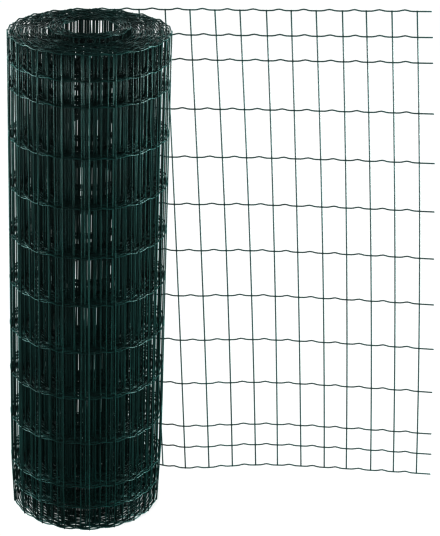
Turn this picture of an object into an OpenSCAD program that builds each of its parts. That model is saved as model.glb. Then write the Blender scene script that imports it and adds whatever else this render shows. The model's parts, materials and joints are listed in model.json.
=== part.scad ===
// Roll of welded wire fencing, stood on end.
//
// One length of galvanised, plastic-coated mesh: line wires run along the length and
// cross wires run across it, welded where they meet. Most of the length is wound about
// the Z axis. Its free end leaves the back of the roll and stands on the floor beside it.
// The wound turns are one turned solid with its bore. The free end has its real bars.
// Origin: on the roll's axis, at floor level. +Z runs up the roll, +X along the free end.

/* [Mesh] */
// Diameter of every wire over its coating
wire_d = 2.2; // [1.6:0.1:3.2]
// Pitch of the cross wires along the length
cross_pitch = 50; // [40:1:80]
// Pitch of the line wires over the middle of the height
line_pitch = 100; // [90:1:120]
// Pitch of the closer line wires along each edge
edge_pitch = 50; // [40:1:60]
// Number of wide openings in one column of the mesh
wide_rows = 8; // [4:1:12]
// Number of narrow openings along each edge
edge_rows = 2; // [1:1:3]
// Depth to which a cross wire is sunk into a line wire by the weld
weld_sink = 0.5; // [0.3:0.1:0.8]

/* [Roll] */
// Outer diameter of the wound roll
roll_d = 320; // [280:1:360]
// Diameter of the hole through the middle of the roll
bore_d = 100; // [80:1:180]
// Number of turns that show on each end
turns = 30; // [8:1:32]
// Depth of the gap between two turns, at each end of the roll
turn_gap_depth = 3; // [1:0.5:8]

/* [Free end] */
// Distance along the free end from the roll's axis to the last cross wire
free_length = 668; // [520:1:760]
// Number of cross wires that stand clear of the roll
free_cross_wires = 11; // [8:1:12]
// Length of line wire left past the last cross wire
line_tail = 28; // [10:1:40]
// Distance that a cross wire's top leans towards the roll, and its foot away from it
lean = 32; // [0:1:45]
// Distance that the last cross wire's middle stands forward of the roll's back
forward_bend = 35; // [0:1:60]
// Distance that the last cross wire's top is twisted back, and its foot forwards
twist = 48; // [0:1:60]
// Distance that the last cross wire's two ends curl back from its middle
edge_curl = 30; // [0:1:80]
// Distance that the free end's middle is tucked forward near the roll
tuck = 18; // [0:1:30]
// Distance that its foot is tucked forward beyond the middle, and its top less
tuck_tilt = 21; // [0:1:30]
// Height of the free end's last cross wire above the floor
tip_lift = 5; // [0:1:20]

/* [Hidden] */
$fn = 128;

coating = "#0f2a26";
wire_sides = 6;
// The free end starts inside the wall of the roll, this far below its outer face
root_depth = 4;
// Share of the distance between two turns that the mesh fills, and its gap leaves
turn_fill = 0.75;
roll_r = roll_d / 2;
bore_r = bore_d / 2;
turn_pitch = (roll_r - bore_r) / turns;
wide_height = wide_rows * line_pitch;
mesh_height = wide_height + 2 * edge_rows * edge_pitch;
full_height = mesh_height + wire_d;
root_y = roll_r - root_depth;
// Place of the deepest tuck, as a share of the free end's length
tuck_place = 0.24;
// Heights of the line wires, from the foot to the top
line_heights = [
    for (i = [0 : edge_rows - 1]) i * edge_pitch,
    for (i = [0 : wide_rows]) edge_rows * edge_pitch + i * line_pitch,
    for (i = [1 : edge_rows]) edge_rows * edge_pitch + wide_height + i * edge_pitch
];
// Places of the free end's cross wires, from the first to the last
cross_places = [
    for (i = [free_cross_wires - 1 : -1 : 0]) free_length - i * cross_pitch
];
// Places between which a line wire is bent: its root, each cross wire and its cut end
line_stations = concat([0, cross_places[0] / 2], cross_places, [free_length + line_tail]);

// Point of the free end's surface at a place along it and a height up its mesh. q runs from
// 0 at the roll's axis to 1 at the last cross wire, and w from -1 at the foot to 1 at the
// top. The bend and the curl grow along the free end as q (1 + q) / 2. The tuck is a swell
// s e^(1 - s), where s is the square of q over the tuck's place.
function sheet_point(place, height) =
    let (
        q = place / free_length,
        w = 2 * height / mesh_height - 1,
        growth = q * (1 + q) / 2,
        s = pow(q / tuck_place, 2),
        bend = growth * (edge_curl * w * w - forward_bend)
    )
    [
        place - lean * w * min(1, place / cross_places[0]),
        root_y + twist * q * w + bend - (tuck - tuck_tilt * w) * s * exp(1 - s),
        height + wire_d / 2 + tip_lift * q
    ];

// Cross-section of a wire in the plane across X (along_x true) or across Z
function wire_ring(along_x) = [
    for (i = [0 : wire_sides - 1])
        let (a = 360 * (i + 0.5) / wire_sides, u = wire_d / 2 * cos(a), v = wire_d / 2 * sin(a))
        along_x ? [0, -u, v] : [u, v, 0]
];

// A wire through a list of points, its section kept parallel to one plane
module wire(points, along_x) {
    ring = wire_ring(along_x);
    n = wire_sides;
    last = len(points) - 1;
    polyhedron(
        points = [for (p = points) for (r = ring) p + r],
        faces = concat(
            [[for (i = [0 : n - 1]) i]],
            [
                for (k = [0 : last - 1]) for (i = [0 : n - 1])
                    [k * n + i, (k + 1) * n + i, (k + 1) * n + (i + 1) % n, k * n + (i + 1) % n]
            ],
            [[for (i = [n - 1 : -1 : 0]) last * n + i]]
        )
    );
}

// All the turns wound tight, as one turned wall with the gaps between turns on both ends
module wound_turns() {
    foot = [
        for (i = [0 : turns - 1])
            let (r = bore_r + i * turn_pitch, crest = r + turn_pitch * turn_fill)
            each i < turns - 1
                ? [[r, 0], [crest, 0], [crest, turn_gap_depth], [r + turn_pitch, turn_gap_depth]]
                : [[r, 0], [roll_r, 0]]
    ];
    top = [for (i = [len(foot) - 1 : -1 : 0]) [foot[i][0], full_height - foot[i][1]]];
    rotate_extrude() polygon(concat(foot, top));
}

// One line wire of the free end
module line_wire(height) {
    wire([for (place = line_stations) sheet_point(place, height)], true);
}

// One cross wire of the free end, welded to the back of the line wires
module cross_wire(place) {
    behind = [0, wire_d - weld_sink, 0];
    foot = sheet_point(place, 0) + behind - [0, 0, wire_d / 2];
    head = sheet_point(place, mesh_height) + behind + [0, 0, wire_d / 2];
    inner = [
        for (i = [1 : len(line_heights) - 2]) sheet_point(place, line_heights[i]) + behind
    ];
    wire(concat([foot], inner, [head]), false);
}

module free_end() {
    for (height = line_heights) line_wire(height);
    for (place = cross_places) cross_wire(place);
}

module welded_mesh() {
    color(coating) union() {
        wound_turns();
        free_end();
    }
}

welded_mesh();
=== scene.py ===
"""A roll of plastic-coated welded wire fencing, stood on end beside its unrolled free end.

The mesh is one sheet. Crimped line wires run along it, and straight cross wires run up it,
each welded to every line wire. Most of it is wound about the Z axis, and the rest leaves the
back of the roll. Its sizes are in millimetres, and every mesh is written in metres. The
studio's sizes are in metres.

A place on the sheet has two coordinates. along is the distance along the mesh from the line
where it leaves the roll: positive on the free end, negative on the wound turns. height is the
distance up the mesh from its lowest line wire.
"""

import json
import logging
import math
from dataclasses import dataclass, field
from enum import Enum
from typing import Any, Union

import bpy
import numpy as np
from mathutils import Matrix, Vector


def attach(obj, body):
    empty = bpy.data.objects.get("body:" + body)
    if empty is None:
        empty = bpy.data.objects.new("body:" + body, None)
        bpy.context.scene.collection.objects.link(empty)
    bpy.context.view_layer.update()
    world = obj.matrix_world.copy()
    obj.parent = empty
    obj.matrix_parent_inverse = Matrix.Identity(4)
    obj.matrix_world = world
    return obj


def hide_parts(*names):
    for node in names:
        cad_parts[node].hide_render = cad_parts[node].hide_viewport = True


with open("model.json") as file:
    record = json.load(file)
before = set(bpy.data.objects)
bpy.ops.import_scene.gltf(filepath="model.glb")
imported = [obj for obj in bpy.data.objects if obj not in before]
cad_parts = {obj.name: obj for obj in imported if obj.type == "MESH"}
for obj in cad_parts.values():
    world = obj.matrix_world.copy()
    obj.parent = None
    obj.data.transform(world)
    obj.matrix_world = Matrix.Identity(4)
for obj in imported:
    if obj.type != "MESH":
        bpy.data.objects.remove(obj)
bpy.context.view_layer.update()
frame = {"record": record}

LOG = logging.getLogger("wire_roll")
NODE = "welded_mesh"
BODY = "root"
MM = 0.001
UP = np.array([0.0, 0.0, 1.0])


class CrossSide(Enum):
    """The face of the line wires that carries the cross wires."""

    OUTSIDE = 1.0
    INSIDE = -1.0


def bore_radius(record: dict) -> float:
    """Radius of the roll's open core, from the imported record's bore mount.

    Args:
        record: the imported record.

    Returns:
        The radius in millimetres.
    """
    bores = [mount for mount in record["mounts"] if mount["kind"] == "bore"]
    return float(bores[0]["dims"]["r_mm"])


# ---------------------------------------------------------------- the mesh as it lies flat


@dataclass(frozen=True)
class MeshPattern:
    """The welded mesh as it comes off the loom, before it is wound.

    Attributes:
        wire_d: diameter of every wire over its coating.
        core_d: diameter of the steel inside it.
        cross_pitch: distance between cross wires.
        line_pitch: distance between line wires over the middle of the height.
        edge_pitch: distance between line wires along each edge.
        wide_rows: rows of wide openings.
        edge_rows: rows of narrow openings along each edge.
        cross_count: number of cross wires.
        line_tail: line wire left past the first and the last cross wire.
        tail_spread: the most by which a tail is longer or shorter than that.
        weld_sink: depth to which a cross wire is sunk into a line wire.
        crimp_rise: height of the crimp in each opening.
        crimp_width: half-width of the crimp's bell curve.
        cross_side: face of the line wires that carries the cross wires.
    """

    wire_d: float = 2.2
    core_d: float = 1.7
    cross_pitch: float = 50.0
    line_pitch: float = 100.0
    edge_pitch: float = 50.0
    wide_rows: int = 8
    edge_rows: int = 2
    cross_count: int = 401
    line_tail: float = 30.0
    tail_spread: float = 1.0
    weld_sink: float = 0.5
    crimp_rise: float = 3.0
    crimp_width: float = 8.7
    cross_side: CrossSide = CrossSide.OUTSIDE

    @property
    def line_heights(self) -> np.ndarray:
        """Heights of the line wires: close along both edges, wide between them.

        Returns:
            The heights, from the foot to the top.
        """
        edge = self.edge_rows * self.edge_pitch
        wide = self.wide_rows * self.line_pitch
        foot = np.arange(self.edge_rows) * self.edge_pitch
        middle = edge + np.arange(self.wide_rows + 1) * self.line_pitch
        head = edge + wide + self.edge_pitch * np.arange(1, self.edge_rows + 1)
        return np.concatenate([foot, middle, head])

    @property
    def height(self) -> float:
        """Height of the mesh between its two outer line wires."""
        return float(self.line_heights[-1])

    @property
    def length(self) -> float:
        """Length of the mesh from its first cross wire to its last."""
        return (self.cross_count - 1) * self.cross_pitch

    @property
    def cross_offset(self) -> float:
        """Distance of a cross wire's centre from the line wires' centres, outwards."""
        return self.cross_side.value * (self.wire_d - self.weld_sink)

    def crimp(self, share: np.ndarray) -> np.ndarray:
        """Rise of a line wire's crimp at a share of the way between two cross wires.

        The wave is a bell curve about the middle of the opening: rise times
        e^-(distance / width)^2. It is all but flat where the cross wires are welded.

        Args:
            share: places between two cross wires, 0 to 1.

        Returns:
            The rise above the straight wire.
        """
        distance = (share - 0.5) * self.cross_pitch
        return self.crimp_rise * np.exp(-((distance / self.crimp_width) ** 2))


# ---------------------------------------------------------------- where the mesh lies


@dataclass(frozen=True)
class SheetCourse:
    """The surface on which the line wires' centres lie, wound and free.

    Attributes:
        pattern: the flat mesh.
        bore_r: radius of the open core.
        free_length: from the roll's axis to the free end's last cross wire.
        outer_r_head: radius of the outer turn at the head.
        outer_r_foot: the same at the foot, before the pinch.
        foot_pinch: how far the foot's lowest edge is pinched in.
        pinch_height: height over which the pinch fades.
        foot_shift: how far the roll leans, as its foot's shift in X and Y.
        inner_gap: from the open core to the innermost turn.
        slack: length that the outer turn takes up by lying straighter.
        slack_length: length of mesh over which it does so.
        lean_back: lean of the cross wires' tops at the root and on the free end.
        lean_front: the same, deeper in the roll.
        lean_fade: turns over which the one becomes the other.
        lean_bow: bow of the free end's cross wires.
        forward_bend: how far the last cross wire's middle stands forward.
        twist: how far its top is twisted back, and its foot forwards.
        tuck: how far the free end is tucked forward near the roll.
        tuck_tilt: how much deeper the tuck is at the foot, and shallower at the top.
        tuck_place: place of the deepest tuck, as a share of the free end.
        edge_curl: how far the last cross wire's two ends curl back.
        tip_lift: height of its foot over the roll's.
        stand: height of the whole mesh over the floor.
        root_ease: share of the free end over which it leaves the roll's tangent.
        shift_fade: length of the free end over which that shift fades.
        settle_turns: turns over which the outer turn takes on the pinch and the waves.
        round_error: size of the low waves that make the roll less than round.
        calm: share of the waves that is gone at the innermost turn.
        oval_start: phase of the two-lobed wave.
        lobe_share: size of the three-lobed wave, next to the two-lobed one.
        lobe_start: phase of the three-lobed wave.
        turn_wander: how far a turn lies in or out of the even spiral.
        wander_rate: waves of that wander in each turn.
        wander_skew: how far the wander's phase differs between the top and the middle.
        turn_step: how far a turn's head stands higher or lower than the others'.
        step_rate: waves of that step in each turn.
        cross_tilt: spread of each cross wire's own tilt, and of its bow.
        cross_push: spread of each cross wire's own push in or out.
        core_rise: how far the core's turns stand proud.
        core_turns: number of turns in the core.
        core_step: turns over which the mesh climbs onto the core.
        core_gap: extra gap round the core.
        probe: half the distance between the points that give the winding's direction.
        seed: start of the random values.
    """

    pattern: MeshPattern
    bore_r: float
    free_length: float = 668.0
    outer_r_head: float = 156.4
    outer_r_foot: float = 158.4
    foot_pinch: float = 5.8
    pinch_height: float = 70.0
    foot_shift: tuple[float, float] = (-9.5, 2.5)
    inner_gap: float = -0.445
    slack: float = 24.395
    slack_length: float = 500.0
    lean_back: float = 31.7
    lean_front: float = -3.254
    lean_fade: float = 0.22
    lean_bow: float = 3.5
    forward_bend: float = 35.1
    twist: float = 45.0
    tuck: float = 18.3
    tuck_tilt: float = 21.4
    tuck_place: float = 0.24
    edge_curl: float = 29.9
    tip_lift: float = 5.15
    stand: float = 0.4
    root_ease: float = 0.05
    shift_fade: float = 180.0
    settle_turns: float = 0.25
    round_error: float = 1.339
    calm: float = 0.6
    oval_start: float = 0.6
    lobe_share: float = 0.7
    lobe_start: float = 2.1
    turn_wander: float = 0.122
    wander_rate: float = 0.37
    wander_skew: float = 1.3
    turn_step: float = 0.5
    step_rate: float = 0.43
    cross_tilt: float = 1.008
    cross_push: float = 0.35
    core_rise: float = 9.0
    core_turns: float = 8.6
    core_step: float = 0.5
    core_gap: float = 3.0
    probe: float = 0.5
    seed: int = 40552

    def _per_cross(self, spread: float, channel: int) -> np.ndarray:
        """One small random value for each cross wire, always the same.

        Args:
            spread: standard deviation of the values.
            channel: which of the independent sets of values this is.

        Returns:
            An array with a value for each cross wire.
        """
        rng = np.random.default_rng(self.seed + channel)
        return rng.normal(0.0, spread, self.pattern.cross_count)

    def cross_places(self) -> np.ndarray:
        """Where the cross wires are, from the free end's tip to the inner end."""
        index = np.arange(self.pattern.cross_count)
        return self.free_length - index * self.pattern.cross_pitch

    @property
    def turns(self) -> float:
        """Turns in the roll: the wound length over the mean turn's length."""
        wound = self.pattern.length - self.free_length + self.slack
        return wound / (math.pi * (self.outer_r + self.inner_r))

    @property
    def outer_r(self) -> float:
        """Mean radius of the outer turn's line wires."""
        return (self.outer_r_head + self.outer_r_foot) / 2

    def turn_at(self, along: np.ndarray) -> np.ndarray:
        """Turns wound between the free end's root and a place on the mesh.

        An evenly tightening spiral of outer radius R and pitch P has the length
        2 pi (R t - P t^2 / 2) after t turns, which is solved here for t. The outer turn
        is pulled a little straighter, which adds its slack.

        Args:
            along: distances along the mesh.

        Returns:
            Turns from the root, 0 on the free end.
        """
        outer = self.outer_r
        pitch = (outer - self.inner_r) / self.turns
        wound = np.maximum(-along, 0.0)
        eased = np.clip(wound / self.slack_length, 0.0, 1.0)
        wound = wound + self.slack * eased * eased * (3 - 2 * eased)
        under = np.maximum(outer * outer - pitch * wound / math.pi, 0.0)
        return (outer - np.sqrt(under)) / pitch

    @property
    def inner_r(self) -> float:
        """Radius of the innermost turn's line wires, just outside the open core."""
        return self.bore_r + self.pattern.wire_d / 2 + self.inner_gap

    def _lean(self, turn: np.ndarray) -> np.ndarray:
        """Lean of the cross wires' tops along the winding, fading into the roll."""
        fade = np.exp(-((turn / self.lean_fade) ** 2))
        return self.lean_front + (self.lean_back - self.lean_front) * fade

    def _core(self, turn: np.ndarray) -> np.ndarray:
        """How far a place is into the core, a group of inner turns that stands proud.

        Args:
            turn: turns from the root.

        Returns:
            0 outside the core and 1 in it, with a soft step between them.
        """
        share = 0.5 + (turn - self.turns + self.core_turns) / self.core_step
        share = np.clip(share, 0.0, 1.0)
        return share * share * (3 - 2 * share)

    def _tilt(self, along: np.ndarray, rise: np.ndarray) -> np.ndarray:
        """Random tilt and bow of each cross wire, carried over to the line wires.

        Args:
            along: distances along the mesh.
            rise: heights from -1 at the foot to 1 at the top.

        Returns:
            Shifts along the mesh.
        """
        index = (self.free_length - along) / self.pattern.cross_pitch
        steps = np.arange(self.pattern.cross_count)
        tilt = np.interp(index, steps, self._per_cross(self.cross_tilt, 1))
        bow = np.interp(index, steps, self._per_cross(self.cross_tilt, 2))
        return tilt * rise + bow * (1 - rise * rise)

    def _radius(self, along: np.ndarray, turn: np.ndarray, rise: np.ndarray) -> np.ndarray:
        """Distance of the line wires' centres from the roll's axis.

        It falls evenly from the outer turn to the inner one. The outer turn widens towards
        the foot, with the square of the distance from the head, and its lowest edge is
        pinched in. The core's turns lie closer, so a gap is left round its outermost turn.
        Low waves round the roll make it less than round, and each cross wire pushes its
        turn in or out.

        Args:
            along: distances along the mesh.
            turn: turns from the root.
            rise: heights from -1 at the foot to 1 at the top.

        Returns:
            Radii.
        """
        drop = (1 - rise) / 2
        outer = self.outer_r_head + (self.outer_r_foot - self.outer_r_head) * drop * drop
        settled = np.minimum(turn / self.settle_turns, 1.0)
        height = (1 + rise) / 2 * self.pattern.height
        outer = outer - self.foot_pinch * settled * np.exp(-((height / self.pinch_height) ** 2))
        radius = outer + (self.inner_r - outer) * turn / self.turns
        depth_in = np.clip((self.turns - turn) / self.core_turns, 0.0, 1.0)
        radius = radius - self.core_gap * self._core(turn) * depth_in
        angle = 2 * math.pi * turn
        depth = 1 - self.calm * turn / self.turns
        lobes = np.cos(3 * angle + self.lobe_start + rise)
        oval = np.cos(2 * angle + self.oval_start) + self.lobe_share * lobes
        radius = radius + self.round_error * oval * settled * depth
        wander = np.sin(2 * math.pi * self.wander_rate * turn + self.wander_skew * rise)
        radius = radius + self.turn_wander * (wander * settled)
        index = (self.free_length - along) / self.pattern.cross_pitch
        steps = np.arange(self.pattern.cross_count)
        push = np.interp(index, steps, self._per_cross(self.cross_push, 3))
        return radius + push * settled

    def point(self, along: np.ndarray, height: np.ndarray, proud: float = 0.0) -> np.ndarray:
        """Points on the sheet, or a distance proud of it.

        On the wound turns a point lies at its radius and at the angle 90 degrees plus 360
        for each turn, shifted by the lean of the cross wires. On the free end it runs out
        along X, and its Y is the root's, plus a twist that grows with the distance, minus
        a forward bend, plus a curl of both edges that grows with the height squared, minus
        a tuck: a swell s e^(1 - s) near the roll, where s is the square of the distance
        over the swell's place. The lower the place, the deeper the tuck. The core's turns
        stand proud of the others, and each turn's head is a little higher or lower. All of
        it stands a hair over the floor, because the welds are thicker than the wires.

        Args:
            along: distances along the mesh.
            height: heights up the mesh, of a shape that broadcasts with along.
            proud: distance outwards from the line wires' centres.

        Returns:
            Points, with a last axis of three.
        """
        along, height = np.broadcast_arrays(
            np.asarray(along, float), np.asarray(height, float)
        )
        rise = 2 * height / self.pattern.height - 1
        turn = self.turn_at(along)
        radius = self._radius(along, turn, rise) + proud
        shift = self._lean(turn) * rise + self._tilt(along, rise)
        bow = self.lean_bow * rise * rise
        angle = math.pi / 2 + 2 * math.pi * turn + shift / radius
        free = np.maximum(along, 0.0)
        q = free / self.free_length
        eased = (1 + self.root_ease) * q * q / (q + self.root_ease)
        growth = eased * (1 + eased) / 2
        back = self.twist * eased * rise + growth * (self.edge_curl * rise**2 - self.forward_bend)
        swell = (q / self.tuck_place) ** 2
        back = back - (self.tuck - self.tuck_tilt * rise) * swell * np.exp(1 - swell)
        near_root = np.clip(1 - free / self.shift_fade, 0.0, 1.0)
        foot = (1 - rise) / 2 * near_root * near_root * (3 - 2 * near_root)
        is_free = along > 0
        x = np.where(is_free, free - shift, radius * np.cos(angle))
        x = x - bow * (1 - near_root) + foot * self.foot_shift[0]
        y = np.where(is_free, radius + back, radius * np.sin(angle))
        y = y + foot * self.foot_shift[1]
        step = self.turn_step * np.sin(2 * math.pi * self.step_rate * turn)
        step = step * np.minimum(turn, 1.0)
        z = height + self.pattern.wire_d / 2 + self.stand + self.tip_lift * eased
        z = z + step * (1 + rise) / 2 + self.core_rise * self._core(turn)
        return np.stack([x, y, z], axis=-1)

    def outward(self, along: np.ndarray, height: np.ndarray) -> np.ndarray:
        """Unit normals of the sheet, away from the roll's axis.

        They are the level normals of the winding: its direction is taken between two
        close points, and turned a quarter turn.

        Args:
            along: distances along the mesh.
            height: heights up the mesh.

        Returns:
            Unit vectors, with a last axis of three.
        """
        ahead = self.point(np.asarray(along) - self.probe, height)
        behind = self.point(np.asarray(along) + self.probe, height)
        run = ahead - behind
        normal = np.stack([run[..., 1], -run[..., 0], np.zeros(run.shape[:-1])], axis=-1)
        return normal / np.linalg.norm(normal, axis=-1, keepdims=True)


# ---------------------------------------------------------------- meshes from arrays


@dataclass
class WireBatch:
    """Many wires of one size and one count of rings, as one mesh.

    Attributes:
        centres: wires, rings and three coordinates.
        outward: a direction square to the sheet at each ring, shaped as the centres.
        radii: wires and rings.
        sides: corners of a ring.
        first_corner: place of a ring's first corner, as a share of a side.
    """

    centres: np.ndarray
    outward: np.ndarray
    radii: np.ndarray
    sides: int = 8
    first_corner: float = 0.25

    def rings(self) -> np.ndarray:
        """Points of every ring.

        A ring has equal sides about its centre, in the plane square to the wire there: centre
        plus reach times (cos a times up plus sin a times side), where side is square to the
        wire and to the outward direction. The reach of its corners is the radius times
        (pi / sides) / sin(pi / sides), which makes its mean width that of the round wire.

        Returns:
            An array of wires, rings, sides and three coordinates.
        """
        half_side = math.pi / self.sides
        reach = self.radii[..., None, None] * (half_side / math.sin(half_side))
        run = np.gradient(self.centres, axis=1)
        run /= np.linalg.norm(run, axis=-1, keepdims=True)
        side = np.cross(run, self.outward)
        side /= np.linalg.norm(side, axis=-1, keepdims=True)
        up = np.cross(side, run)
        angle = 2 * math.pi * (np.arange(self.sides) + self.first_corner) / self.sides
        around = (
            np.cos(angle)[:, None] * up[:, :, None, :]
            + np.sin(angle)[:, None] * side[:, :, None, :]
        )
        return self.centres[:, :, None, :] + reach * around

    def build(self, name: str) -> bpy.types.Object:
        """Makes the mesh: a skin of four-sided faces on each wire, and a face on each end.

        Args:
            name: name of the new object.

        Returns:
            The object, with its faces pointing out of the wires.
        """
        rings = self.rings()
        wires, count, sides, _ = rings.shape
        index = np.arange(wires * count * sides).reshape(wires, count, sides)
        following = np.roll(index, -1, axis=2)
        skin = np.stack(
            [index[:, :-1], following[:, :-1], following[:, 1:], index[:, 1:]], axis=-1
        ).reshape(-1, 4)
        ends = np.concatenate([index[:, 0, ::-1], index[:, -1]])
        return mesh_object(name, rings.reshape(-1, 3), [skin, ends], [True, False])


def mesh_object(
    name: str, points: np.ndarray, faces: list[np.ndarray], smooth: list[bool]
) -> bpy.types.Object:
    """Puts arrays of points and faces into a new mesh object.

    Args:
        name: name of the object and its mesh.
        points: points in millimetres.
        faces: arrays of point numbers, one row for each face.
        smooth: for each array, whether its faces are shaded smooth.

    Returns:
        The new object, at the origin.
    """
    mesh = bpy.data.meshes.new(name)
    corners = np.concatenate([part.ravel() for part in faces])
    sizes = np.concatenate([np.full(len(part), part.shape[1]) for part in faces])
    flags = np.concatenate([np.full(len(part), flag) for part, flag in zip(faces, smooth)])
    mesh.vertices.add(len(points))
    mesh.vertices.foreach_set("co", (points * MM).astype(np.float32).ravel())
    mesh.loops.add(len(corners))
    mesh.loops.foreach_set("vertex_index", corners.astype(np.int32))
    mesh.polygons.add(len(sizes))
    starts = np.concatenate([[0], np.cumsum(sizes)[:-1]])
    mesh.polygons.foreach_set("loop_start", starts.astype(np.int32))
    mesh.polygons.foreach_set("use_smooth", flags)
    mesh.update(calc_edges=True)
    mesh.validate()
    made = bpy.data.objects.new(name, mesh)
    bpy.context.scene.collection.objects.link(made)
    return made


def join_frame(piece: bpy.types.Object) -> None:
    """Ties a piece to the frame: it rides on the roll and stands for its plain solid.

    Args:
        piece: the finished piece.
    """
    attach(piece, BODY)
    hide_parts(NODE)
    count = sum(len(face.vertices) - 2 for face in piece.data.polygons)
    LOG.info("%s: %d triangles", piece.name, count)


# ---------------------------------------------------------------- shader maths


Operand = Union["Value", float]


@dataclass(frozen=True)
class Value:
    """A number that changes over a surface: a socket with arithmetic."""

    tree: "Nodes"
    socket: bpy.types.NodeSocket

    def _math(self, operation: str, first: Operand, second: Operand) -> "Value":
        """One Math node on two values."""
        made = self.tree.add("ShaderNodeMath", {"operation": operation}, {0: first, 1: second})
        return Value(self.tree, made.outputs[0])

    def __add__(self, other: Operand) -> "Value":
        """Sum."""
        return self._math("ADD", self, other)

    def __radd__(self, other: Operand) -> "Value":
        """Sum with a plain number first."""
        return self._math("ADD", other, self)

    def __sub__(self, other: Operand) -> "Value":
        """Difference."""
        return self._math("SUBTRACT", self, other)

    def __rsub__(self, other: Operand) -> "Value":
        """Difference from a plain number."""
        return self._math("SUBTRACT", other, self)

    def __mul__(self, other: Operand) -> "Value":
        """Product."""
        return self._math("MULTIPLY", self, other)

    def __rmul__(self, other: Operand) -> "Value":
        """Product with a plain number first."""
        return self._math("MULTIPLY", other, self)

    def between(self, low: float, high: float) -> "Value":
        """This value spread so that low becomes 0 and high becomes 1, and held there.

        Args:
            low: the value that becomes 0.
            high: the value that becomes 1.

        Returns:
            The new value, from 0 to 1.
        """
        spread = (self - low) * (1.0 / (high - low))
        held = self.tree.add("ShaderNodeClamp", {}, {0: spread})
        return Value(self.tree, held.outputs[0])


@dataclass
class Nodes:
    """The node tree of one material."""

    material: bpy.types.Material

    def __post_init__(self) -> None:
        """Empties the tree."""
        self.material.use_nodes = True
        self.material.node_tree.nodes.clear()

    def add(self, kind: str, settings: dict[str, Any], inputs: dict) -> bpy.types.Node:
        """Adds one node.

        Args:
            kind: the node's type.
            settings: its properties, which are set first.
            inputs: socket names or numbers, each with a number, colour, socket or Value.

        Returns:
            The new node.
        """
        tree = self.material.node_tree
        made = tree.nodes.new(kind)
        for name, value in settings.items():
            setattr(made, name, value)
        for name, value in inputs.items():
            if isinstance(value, Value):
                tree.links.new(value.socket, made.inputs[name])
            elif isinstance(value, bpy.types.NodeSocket):
                tree.links.new(value, made.inputs[name])
            else:
                made.inputs[name].default_value = value
        return made

    def place(self) -> bpy.types.NodeSocket:
        """The surface point in the object's own coordinates, in metres."""
        return self.add("ShaderNodeTexCoord", {}, {}).outputs["Object"]

    def distance(self) -> Value:
        """Distance of the surface point from the object's origin, in metres."""
        made = self.add("ShaderNodeVectorMath", {"operation": "LENGTH"}, {0: self.place()})
        return Value(self, made.outputs["Value"])

    def noise(self, size: float, detail: float = 2.0, rough: float = 0.5) -> Value:
        """Smooth noise from 0 to 1.

        Args:
            size: width of its patches in millimetres.
            detail: octaves of finer noise.
            rough: strength of each finer octave.

        Returns:
            The noise as a value.
        """
        made = self.add(
            "ShaderNodeTexNoise",
            {},
            {
                "Vector": self.place(),
                "Scale": 1.0 / (size * MM),
                "Detail": detail,
                "Roughness": rough,
            },
        )
        return Value(self, made.outputs[0])

    def blend(self, first: Any, second: Any, share: Value) -> bpy.types.NodeSocket:
        """A colour between two colours.

        Args:
            first: the colour where share is 0.
            second: the colour where share is 1.
            share: how much of the second colour shows.

        Returns:
            The mixed colour.
        """
        made = self.add(
            "ShaderNodeMix", {"data_type": "RGBA"}, {0: share, 6: first, 7: second}
        )
        return made.outputs[2]

    def finish(self, shader: bpy.types.Node) -> None:
        """Connects a shader to the material's output.

        Args:
            shader: the node whose first output is the surface.
        """
        self.add("ShaderNodeOutputMaterial", {}, {"Surface": shader.outputs[0]})


@dataclass(frozen=True)
class CoatingFinish:
    """Glossy moss-green plastic, dipped and cooled on the wire.

    Attributes:
        deep: the darker green.
        pale: the lighter green.
        scuffed: the colour where the coating is rubbed.
        drift_size: width of the patches of the two greens.
        drift_range: noise that is all deep, and noise that is all pale.
        rub_size: width of the rubbed specks.
        rub_range: noise where the rubbing starts, and where it is full.
        rub_strength: share of the scuffed colour where it is full.
        rub_roughness: roughness that the rubbing adds.
        roughness: mean roughness of the coating.
        roughness_spread: range of the roughness about its mean.
        streak_size: width of the duller and glossier patches.
        skin_size: width of the skin's ripples.
        skin_depth: height of the ripples, in metres.
        skin_strength: how strongly they tilt the surface.
        ior: refractive index of the plastic.
    """

    deep: tuple[float, float, float, float] = (0.004, 0.036, 0.032, 1.0)
    pale: tuple[float, float, float, float] = (0.01, 0.063, 0.058, 1.0)
    scuffed: tuple[float, float, float, float] = (0.036, 0.095, 0.088, 1.0)
    drift_size: float = 70.0
    drift_range: tuple[float, float] = (0.3, 0.7)
    rub_size: float = 5.0
    rub_range: tuple[float, float] = (0.66, 0.78)
    rub_strength: float = 0.6
    rub_roughness: float = 0.15
    roughness: float = 0.42
    roughness_spread: float = 0.16
    streak_size: float = 9.0
    skin_size: float = 1.1
    skin_depth: float = 0.00004
    skin_strength: float = 0.6
    ior: float = 1.5

    def build(self) -> bpy.types.Material:
        """Makes the material.

        The colour drifts between a deep and a paler green in hand-sized patches, and is
        rubbed pale in small specks. The skin has the fine ripple of a dipped coating.

        Returns:
            The material.
        """
        material = bpy.data.materials.new("moss_green_coating")
        nodes = Nodes(material)
        drift = nodes.noise(self.drift_size, detail=3.0).between(*self.drift_range)
        rubbed = nodes.noise(self.rub_size, detail=4.0, rough=0.65).between(*self.rub_range)
        colour = nodes.blend(self.deep, self.pale, drift)
        colour = nodes.blend(colour, self.scuffed, rubbed * self.rub_strength)
        streak = nodes.noise(self.streak_size)
        gloss = streak * self.roughness_spread + (self.roughness - self.roughness_spread / 2)
        ripple = nodes.add(
            "ShaderNodeBump",
            {},
            {
                "Strength": self.skin_strength,
                "Distance": self.skin_depth,
                "Height": nodes.noise(self.skin_size),
            },
        )
        shader = nodes.add(
            "ShaderNodeBsdfPrincipled",
            {},
            {
                "Base Color": colour,
                "Roughness": gloss + rubbed * self.rub_roughness,
                "IOR": self.ior,
                "Normal": ripple.outputs[0],
            },
        )
        nodes.finish(shader)
        return material


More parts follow.
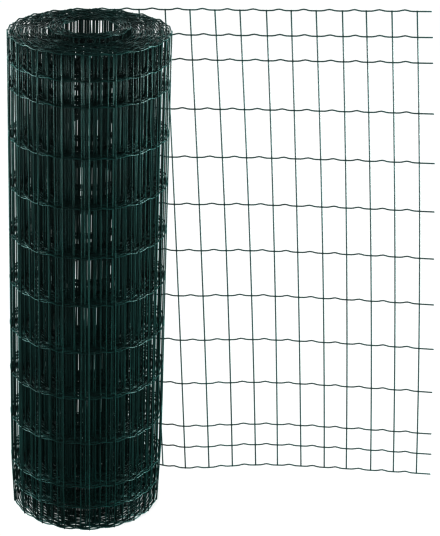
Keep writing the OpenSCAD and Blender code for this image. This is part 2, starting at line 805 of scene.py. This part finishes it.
@dataclass(frozen=True)
class SteelFinish:
    """The bright galvanised core that shows where a wire was cut."""

    tone: tuple[float, float, float, float] = (0.42, 0.43, 0.44, 1.0)
    dull: tuple[float, float, float, float] = (0.2, 0.2, 0.2, 1.0)
    grain_size: float = 0.4
    grain_range: tuple[float, float] = (0.35, 0.7)
    roughness: float = 0.35
    roughness_spread: float = 0.2

    def build(self) -> bpy.types.Material:
        """Makes the material: sheared zinc and steel, with a fine grain.

        Returns:
            The material.
        """
        material = bpy.data.materials.new("cut_steel")
        nodes = Nodes(material)
        grain = nodes.noise(self.grain_size, detail=3.0).between(*self.grain_range)
        shader = nodes.add(
            "ShaderNodeBsdfPrincipled",
            {},
            {
                "Base Color": nodes.blend(self.tone, self.dull, grain),
                "Roughness": grain * self.roughness_spread + self.roughness,
                "Metallic": 1.0,
            },
        )
        nodes.finish(shader)
        return material


# ---------------------------------------------------------------- the pieces


@dataclass
class LineWires:
    """The crimped wires that run along the whole mesh.

    Attributes:
        course: where the mesh lies.
        finish: the coating.
        cut_finish: the steel in the cut tips.
        shares: places of a wire's rings, as shares of an opening.
        tail_shares: places of its rings past the first cross wire, as shares of the tail.
        tip_share: radius of a wire's very end, as a share of its radius.
        sides: corners of a ring.
        core_proud: how far a steel core stands out of its tip.
        core_shares: places of a core's rings, as shares of that.
        core_taper: radii of its rings, as shares of the core's radius.
        seed: start of the random lengths of the tails.
        tips: the last two centres at each end of each wire, outermost first.
    """

    course: SheetCourse
    finish: bpy.types.Material
    cut_finish: bpy.types.Material
    shares: tuple[float, ...] = (0.0, 0.2, 0.3, 0.4, 0.5, 0.6, 0.7, 0.8)
    tail_shares: tuple[float, ...] = (1.0, 0.97, 0.5)
    tip_share: float = 0.86
    sides: int = 8
    core_proud: float = 0.25
    core_shares: tuple[float, ...] = (-0.6, 0.6, 1.0)
    core_taper: tuple[float, ...] = (1.0, 1.0, 0.8)
    seed: int = 7
    tips: list[np.ndarray] = field(default_factory=list)

    def stations(self, tails: np.ndarray) -> tuple[np.ndarray, np.ndarray]:
        """Places of a wire's rings, and the crimp's rise at each.

        The rings are close together on the crimp and far apart on the flat stretches.

        Args:
            tails: length of wire past the first and the last cross wire.

        Returns:
            Distances along the mesh, and rises.
        """
        pattern = self.course.pattern
        cells = np.arange(pattern.cross_count - 1)[:, None] + np.array(self.shares)
        cells = np.append(cells.ravel(), pattern.cross_count - 1)
        rise = pattern.crimp(cells % 1.0)
        places = self.course.free_length - cells * pattern.cross_pitch
        outer = places[0] + tails[0] * np.array(self.tail_shares)
        inner = places[-1] - tails[1] * np.array(self.tail_shares[::-1])
        flat = np.full(len(self.tail_shares), rise[0])
        return (
            np.concatenate([outer, places, inner]),
            np.concatenate([flat, rise, flat]),
        )

    def build(self) -> list[bpy.types.Object]:
        """Makes one mesh for each line wire.

        Returns:
            The wires, from the foot to the top.
        """
        pattern = self.course.pattern
        rng = np.random.default_rng(self.seed)
        made = []
        for number, height in enumerate(pattern.line_heights):
            tails = pattern.line_tail + rng.uniform(-1, 1, 2) * pattern.tail_spread
            along, rise = self.stations(tails)
            centres = self.course.point(along, height)
            centres[:, 2] += rise
            outward = self.course.outward(along, height)
            radii = np.full(len(along), pattern.wire_d / 2)
            radii[[0, -1]] *= self.tip_share
            wire = WireBatch(centres[None], outward[None], radii[None], self.sides)
            made.append(wire.build(f"line_wire_{number + 1:02d}"))
            self.tips += [centres[[0, 1]], centres[[-1, -2]]]
        return made

    def build_cores(self) -> bpy.types.Object:
        """Makes the steel cores that show in the cut tips, a hair proud of the coating.

        Returns:
            All the cores, as one mesh.
        """
        pattern = self.course.pattern
        tips = np.array(self.tips)
        run = tips[:, 0] - tips[:, 1]
        run /= np.linalg.norm(run, axis=1, keepdims=True)
        steps = np.array(self.core_shares)[:, None] * self.core_proud
        centres = tips[:, None, 0] + steps * run[:, None]
        level = np.cross(run, UP)
        outward = np.repeat(level[:, None], len(steps), axis=1)
        radii = np.tile(pattern.core_d / 2 * np.array(self.core_taper), (len(tips), 1))
        return WireBatch(centres, outward, radii, self.sides).build("cut_cores")

    def dress(self) -> None:
        """Makes the wires and their cut cores, and gives them their finishes."""
        for wire in self.build():
            wire.data.materials.append(self.finish)
            join_frame(wire)
        cores = self.build_cores()
        cores.data.materials.append(self.cut_finish)
        join_frame(cores)


@dataclass
class CrossWires:
    """The straight wires that stand across the mesh, welded to every line wire.

    Attributes:
        course: where the mesh lies.
        finish: the coating.
        sides: corners of a ring.
        spans: even spans that a wire's rings divide the mesh's height into.
        shoulder_share: place of the ring below each end, as a share of the wire's radius.
        tip_share: radius of a wire's very end, as a share of its radius.
    """

    course: SheetCourse
    finish: bpy.types.Material
    sides: int = 6
    spans: int = 10
    shoulder_share: float = 0.8
    tip_share: float = 0.6

    def heights(self) -> np.ndarray:
        """Heights of a wire's rings: evenly up the mesh, and two at each rounded end.

        Returns:
            The heights, from the foot to the top.
        """
        pattern = self.course.pattern
        reach = pattern.wire_d / 2
        ends = np.array([reach, self.shoulder_share * reach])
        inner = pattern.height * np.arange(1, self.spans) / self.spans
        return np.concatenate([-ends, inner, pattern.height + ends[::-1]])

    def build(self, name: str, places: np.ndarray) -> bpy.types.Object:
        """Makes the cross wires at some places along the mesh.

        Args:
            name: name of the piece.
            places: their distances along the mesh.

        Returns:
            The wires, as one mesh.
        """
        pattern = self.course.pattern
        heights = self.heights()
        centres = self.course.point(places[:, None], heights, pattern.cross_offset)
        outward = self.course.outward(places[:, None], heights)
        radii = np.full(centres.shape[:2], pattern.wire_d / 2)
        radii[:, [0, -1]] *= self.tip_share
        return WireBatch(centres, outward, radii, self.sides).build(name)

    def dress(self) -> None:
        """Makes the free and the wound cross wires, and gives them their finish."""
        places = self.course.cross_places()
        parts = {"free_cross_wires": places[places > 0], "wound_cross_wires": places[places <= 0]}
        for name, some in parts.items():
            piece = self.build(name, some)
            piece.data.materials.append(self.finish)
            join_frame(piece)


@dataclass
class Welds:
    """The coated welds where the wires cross.

    Attributes:
        course: where the mesh lies.
        finish: the coating.
        across: mean radius of a bead, along the sheet.
        across_spread: the most by which it is larger or smaller, as a share.
        through: radius of a bead, through both wires.
        latitudes: a bead's rings, in degrees from its middle.
        segments: corners of a ring.
        seed: start of the random sizes.
    """

    course: SheetCourse
    finish: bpy.types.Material
    across: float = 1.5
    across_spread: float = 0.15
    through: float = 2.15
    latitudes: tuple[float, ...] = (-38.0, 0.0, 38.0)
    segments: int = 6
    seed: int = 11

    def build(self) -> bpy.types.Object:
        """Makes a small closed bead on every crossing.

        A bead is an ellipsoid, long through both wires: its rings are at fixed latitudes,
        and its two poles are single points.

        Returns:
            All the beads, as one mesh.
        """
        pattern = self.course.pattern
        places, heights = np.meshgrid(
            self.course.cross_places(), pattern.line_heights, indexing="ij"
        )
        along, height = places.ravel(), heights.ravel()
        centres = self.course.point(along, height, pattern.cross_offset / 2)
        centres[:, 2] += pattern.crimp(np.zeros(1))
        out = self.course.outward(along, height)
        level = np.cross(np.broadcast_to(UP, out.shape), out)
        rng = np.random.default_rng(self.seed)
        girth = self.across * (1 + self.across_spread * rng.uniform(-1, 1, len(along)))
        latitude = np.radians(self.latitudes)
        turn = 2 * math.pi * np.arange(self.segments) / self.segments
        flat = np.cos(latitude)[:, None] * np.stack([np.cos(turn), np.sin(turn)])[:, None, :]
        rings = (
            centres[:, None, None]
            + (girth[:, None, None] * flat[0])[..., None] * level[:, None, None]
            + (girth[:, None, None] * flat[1])[..., None] * UP
            + (self.through * np.sin(latitude))[:, None, None] * out[:, None, None]
        )
        poles = centres[:, None] + np.array([[-1.0], [1.0]]) * self.through * out[:, None]
        return self._closed("welds", rings, poles)

    def _closed(self, name: str, rings: np.ndarray, poles: np.ndarray) -> bpy.types.Object:
        """Skins stacks of rings and closes each at its two poles.

        Args:
            name: name of the new object.
            rings: beads, rings, segments and three coordinates.
            poles: beads, two poles and three coordinates.

        Returns:
            The object.
        """
        beads, count, segments, _ = rings.shape
        each = count * segments + 2
        points = np.concatenate([rings.reshape(beads, -1, 3), poles], axis=1)
        base = np.arange(beads)[:, None] * each
        ring = np.arange(count * segments).reshape(count, segments)
        following = np.roll(ring, -1, axis=1)
        skin = np.stack([ring[:-1], following[:-1], following[1:], ring[1:]], axis=-1)
        low = np.stack(
            [following[0], ring[0], np.full(segments, count * segments)], axis=-1
        )
        high = np.stack(
            [ring[-1], following[-1], np.full(segments, count * segments + 1)], axis=-1
        )
        quads = (base[:, :, None] + skin.reshape(-1, 4)).reshape(-1, 4)
        fans = (base[:, :, None] + np.concatenate([low, high])).reshape(-1, 3)
        return mesh_object(name, points.reshape(-1, 3), [quads, fans], [True, True])

    def dress(self) -> None:
        """Makes the welds and gives them the wires' finish."""
        piece = self.build()
        piece.data.materials.append(self.finish)
        join_frame(piece)


# ---------------------------------------------------------------- the studio


@dataclass(frozen=True)
class Softbox:
    """One large soft light."""

    name: str
    place: tuple[float, float, float]
    aim: tuple[float, float, float]
    size: tuple[float, float]
    power: float

    def build(self) -> None:
        """Adds the light, facing its aim."""
        lamp = bpy.data.lights.new(self.name, "AREA")
        lamp.shape = "RECTANGLE"
        lamp.size, lamp.size_y = self.size
        lamp.energy = self.power
        made = bpy.data.objects.new(self.name, lamp)
        toward = Vector(self.aim) - Vector(self.place)
        made.rotation_euler = toward.to_track_quat("-Z", "Y").to_euler()
        made.location = self.place
        bpy.context.scene.collection.objects.link(made)


@dataclass(frozen=True)
class Studio:
    """The camera, the lights and the pale floor, in metres.

    Attributes:
        camera_place: where the camera stands.
        camera_down: its pitch below level, in degrees.
        camera_roll: its turn about its own axis, in degrees.
        lens: its focal length, in millimetres.
        floor_radius: from the middle of the floor to the wall.
        floor_gap: how far the floor lies under the roll.
        floor_rings: radii of the flat floor's rings.
        floor_bend: radius of the curve between the floor and the wall.
        bend_rings: rings on that curve.
        wall_height: height of the wall.
        floor_sides: corners of a ring of the floor.
        floor_base: the floor's own grey, under its glow.
        shade_tone: brightness of the floor in the deepest shade under the roll.
        shade_reach: radii between which that shade fades out.
        surround: brightness of the surround.
        contrast_curve: gamma of the display, below 1 for more contrast.
        lamps: the softboxes.
    """

    camera_place: tuple[float, float, float] = (0.2573, -3.193, 1.9197)
    camera_down: float = 23.5987
    camera_roll: float = 1.7119
    lens: float = 117.5713
    floor_radius: float = 14.0
    floor_gap: float = 0.0004
    floor_rings: tuple[float, ...] = (0.02, 2.0, 6.0)
    floor_bend: float = 3.0
    bend_rings: int = 13
    wall_height: float = 12.0
    floor_sides: int = 96
    floor_base: float = 0.02
    shade_tone: float = 0.15
    shade_reach: tuple[float, float] = (0.06, 0.15)
    surround: float = 0.5
    contrast_curve: float = 0.48
    lamps: tuple[Softbox, ...] = (
        Softbox("left_box", (-2.9, -0.2, 0.85), (0.0, 0.0, 0.5), (1.6, 1.8), 360.0),
        Softbox("right_box", (3.3, -0.2, 0.85), (0.2, 0.0, 0.5), (1.6, 1.8), 540.0),
        Softbox("front_box", (-0.6, -3.4, 1.6), (0.1, 0.0, 0.5), (2.6, 2.2), 45.0),
        Softbox("back_box", (0.0, 3.2, 1.7), (0.0, 0.0, 1.0), (4.0, 1.3), 60.0),
        Softbox("top_box", (0.1, -0.2, 3.6), (0.1, 0.0, 0.5), (2.4, 2.0), 9.0),
    )

    def build_camera(self) -> None:
        """Adds the camera, pitched down and turned a little about its own axis."""
        data = bpy.data.cameras.new("camera")
        data.lens = self.lens
        data.clip_end = 100.0
        camera = bpy.data.objects.new("camera", data)
        pitch = Matrix.Rotation(math.radians(90.0 - self.camera_down), 4, "X")
        roll = Matrix.Rotation(math.radians(self.camera_roll), 4, "Z")
        camera.matrix_world = Matrix.Translation(self.camera_place) @ pitch @ roll
        bpy.context.scene.collection.objects.link(camera)
        bpy.context.scene.camera = camera

    def build_floor(self) -> None:
        """Adds the pale floor with a wall that curves up far behind it.

        It is a surface turned about the Z axis: flat, then a quarter circle, then upright.
        The floor glows, so the shade that the roll would cast under itself is in its tone.
        """
        bend = self.floor_bend
        arc = np.linspace(0.0, math.pi / 2, self.bend_rings)
        curve = self.floor_radius - bend + bend * np.sin(arc)
        reach = np.concatenate([self.floor_rings, curve, [self.floor_radius]])
        flat = np.zeros(len(self.floor_rings))
        rise = np.concatenate([flat, bend - bend * np.cos(arc), [self.wall_height]])
        rise = rise - self.floor_gap
        turn = np.linspace(0.0, 2 * math.pi, self.floor_sides + 1)[:-1]
        grid = np.stack(
            [
                reach[:, None] * np.cos(turn),
                reach[:, None] * np.sin(turn),
                np.repeat(rise[:, None], len(turn), axis=1),
            ],
            axis=-1,
        )
        index = np.arange(grid.shape[0] * grid.shape[1]).reshape(grid.shape[:2])
        following = np.roll(index, -1, axis=1)
        skin = np.stack([index[:-1], index[1:], following[1:], following[:-1]], axis=-1)
        floor = mesh_object(
            "floor", grid.reshape(-1, 3) / MM, [skin.reshape(-1, 4), index[:1]], [True, True]
        )
        material = bpy.data.materials.new("pale_floor")
        nodes = Nodes(material)
        shade = (self.shade_tone, self.shade_tone, self.shade_tone, 1.0)
        clear = nodes.distance().between(*self.shade_reach)
        white = (1.0, 1.0, 1.0, 1.0)
        shader = nodes.add(
            "ShaderNodeBsdfPrincipled",
            {},
            {
                "Base Color": (self.floor_base, self.floor_base, self.floor_base, 1.0),
                "Roughness": 1.0,
                "Specular IOR Level": 0.0,
                "Emission Color": nodes.blend(shade, white, clear),
                "Emission Strength": 1.0,
            },
        )
        nodes.finish(shader)
        floor.data.materials.append(material)

    def build_world(self) -> None:
        """Sets a dim, even surround and a plain display of colour."""
        world = bpy.data.worlds.new("surround")
        world.use_nodes = True
        ground = world.node_tree.nodes["Background"]
        ground.inputs["Color"].default_value = (1.0, 1.0, 1.0, 1.0)
        ground.inputs["Strength"].default_value = self.surround
        scene = bpy.context.scene
        scene.world = world
        scene.view_settings.view_transform = "Standard"
        scene.view_settings.gamma = self.contrast_curve

    def build(self) -> None:
        """Builds the camera, floor, surround and lights."""
        self.build_camera()
        self.build_floor()
        self.build_world()
        for lamp in self.lamps:
            lamp.build()


def main() -> None:
    """Builds the studio and every piece, in order."""
    logging.basicConfig(level=logging.INFO, format="%(name)s: %(message)s")
    Studio().build()
    course = SheetCourse(MeshPattern(), bore_radius(frame["record"]))
    coating = CoatingFinish().build()
    steel = SteelFinish().build()
    LineWires(course, coating, steel).dress()
    CrossWires(course, coating).dress()
    Welds(course, coating).dress()


if __name__ == "__main__":
    main()
